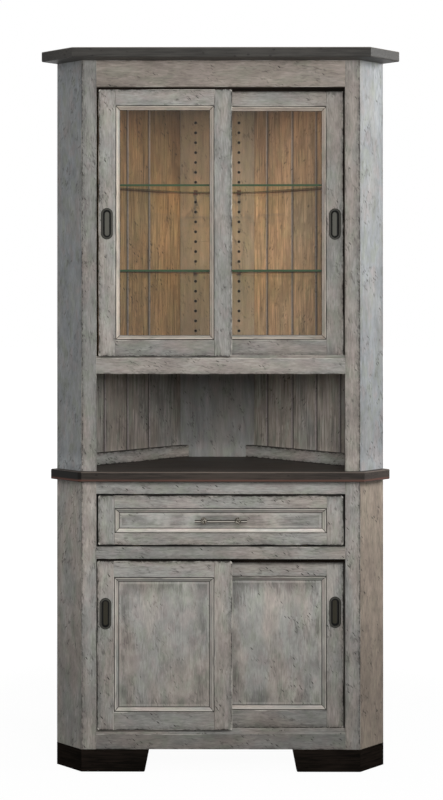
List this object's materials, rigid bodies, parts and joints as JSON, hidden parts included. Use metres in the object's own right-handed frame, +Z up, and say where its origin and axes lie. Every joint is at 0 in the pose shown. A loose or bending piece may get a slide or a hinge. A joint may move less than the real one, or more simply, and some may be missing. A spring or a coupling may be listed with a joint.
{
  "type": "corner hutch",
  "caption": "Free-standing corner hutch: lit glazed display case with sliding doors over an open nook, on a base with a drawer and sliding panelled doors.",
  "frame": {"origin": "on the floor, under the middle of the overall outline", "axes": "+Z up, +X to the right seen from the front; the front faces -Y and the narrow flat back faces +Y"},
  "size_m": [1.0662, 0.505, 2.134],
  "materials": {
    "dark_stain": "espresso stain, satin, with worn brown edges",
    "grey_paint": "dry-brushed warm grey paint under a dark glaze, matt, rubbed through at the edges",
    "glazed_planks": "grey-brown glazed boards, satin",
    "case_ply": "plain glazed plywood, matt",
    "pale_wood": "clear-lacquered maple",
    "clear_glass": "clear, green at the cut edges",
    "dark_pull": "oil-rubbed dark bronze",
    "pewter": "antique pewter, darkened in the recesses",
    "old_brass": "antique brass, darkened",
    "zinc": "bright zinc plate",
    "lamp_lens": "frosted"
  },
  "bodies": {
    "cabinet": {"top_cap": "dark_stain", "counter_top": "dark_stain", "upper_left_stile": "grey_paint", "upper_right_stile": "grey_paint", "upper_top_rail": "grey_paint", "upper_mid_rail": "grey_paint", "upper_returns": "grey_paint", "left_planks": "glazed_planks", "right_planks": "glazed_planks", "upper_back_panel": "glazed_planks", "sub_top": "glazed_planks", "display_deck": "glazed_planks", "glass_shelves": "clear_glass", "shelf_supports": "old_brass", "light_housings": "zinc", "light_lenses": "lamp_lens", "nook_cleats": "grey_paint", "head_tracks": "grey_paint", "sill_tracks": "grey_paint", "base_left_stile": "grey_paint", "base_right_stile": "grey_paint", "base_top_rail": "grey_paint", "drawer_rail": "grey_paint", "base_bottom_rail": "grey_paint", "base_returns": "grey_paint", "base_walls": "case_ply", "base_back_panel": "case_ply", "base_floor": "case_ply", "dust_panel": "pale_wood", "drawer_hangers": "pale_wood", "slide_outer_members": "zinc", "base_shelf": "case_ply", "left_foot": "dark_stain", "right_foot": "dark_stain", "rear_feet": "dark_stain", "foot_blocks": "pale_wood"},
    "left_glass_door": {"left_glass_door_frame": "grey_paint", "left_glass_door_bead": "grey_paint", "left_glass_door_pane": "clear_glass", "left_glass_door_pull": "dark_pull"},
    "right_glass_door": {"right_glass_door_frame": "grey_paint", "right_glass_door_bead": "grey_paint", "right_glass_door_pane": "clear_glass", "right_glass_door_pull": "dark_pull"},
    "left_panel_door": {"left_panel_door_frame": "grey_paint", "left_panel_door_moulding": "grey_paint", "left_panel_door_panel": "grey_paint", "left_panel_door_pull": "dark_pull"},
    "right_panel_door": {"right_panel_door_frame": "grey_paint", "right_panel_door_moulding": "grey_paint", "right_panel_door_panel": "grey_paint", "right_panel_door_pull": "dark_pull"},
    "drawer": {"drawer_front_frame": "grey_paint", "drawer_front_panel": "grey_paint", "drawer_front_moulding": "grey_paint", "drawer_box": "pale_wood", "drawer_bottom": "pale_wood", "drawer_pull": "pewter", "slide_inner_members": "zinc"},
    "slide_middles": {"slide_middle_members": "zinc"}
  },
  "joints": [
    {"name": "left_glass_door_slide", "type": "slide", "parent": "cabinet", "child": "left_glass_door", "axis": [1, 0, 0], "range_m": [0, 0.332]},
    {"name": "right_glass_door_slide", "type": "slide", "parent": "cabinet", "child": "right_glass_door", "axis": [-1, 0, 0], "range_m": [0, 0.335]},
    {"name": "left_panel_door_slide", "type": "slide", "parent": "cabinet", "child": "left_panel_door", "axis": [1, 0, 0], "range_m": [0, 0.332]},
    {"name": "right_panel_door_slide", "type": "slide", "parent": "cabinet", "child": "right_panel_door", "axis": [-1, 0, 0], "range_m": [0, 0.332]},
    {"name": "drawer_slide", "type": "slide", "parent": "cabinet", "child": "drawer", "axis": [0, -1, 0], "range_m": [0, 0.25]},
    {"name": "slide_middles_travel", "type": "slide", "parent": "cabinet", "child": "slide_middles", "axis": [0, -1, 0], "range_m": [0, 0.125]}
  ],
  "couplings": [
    {"joint": "slide_middles_travel", "follows": "drawer_slide", "ratio": 0.5}
  ]
}
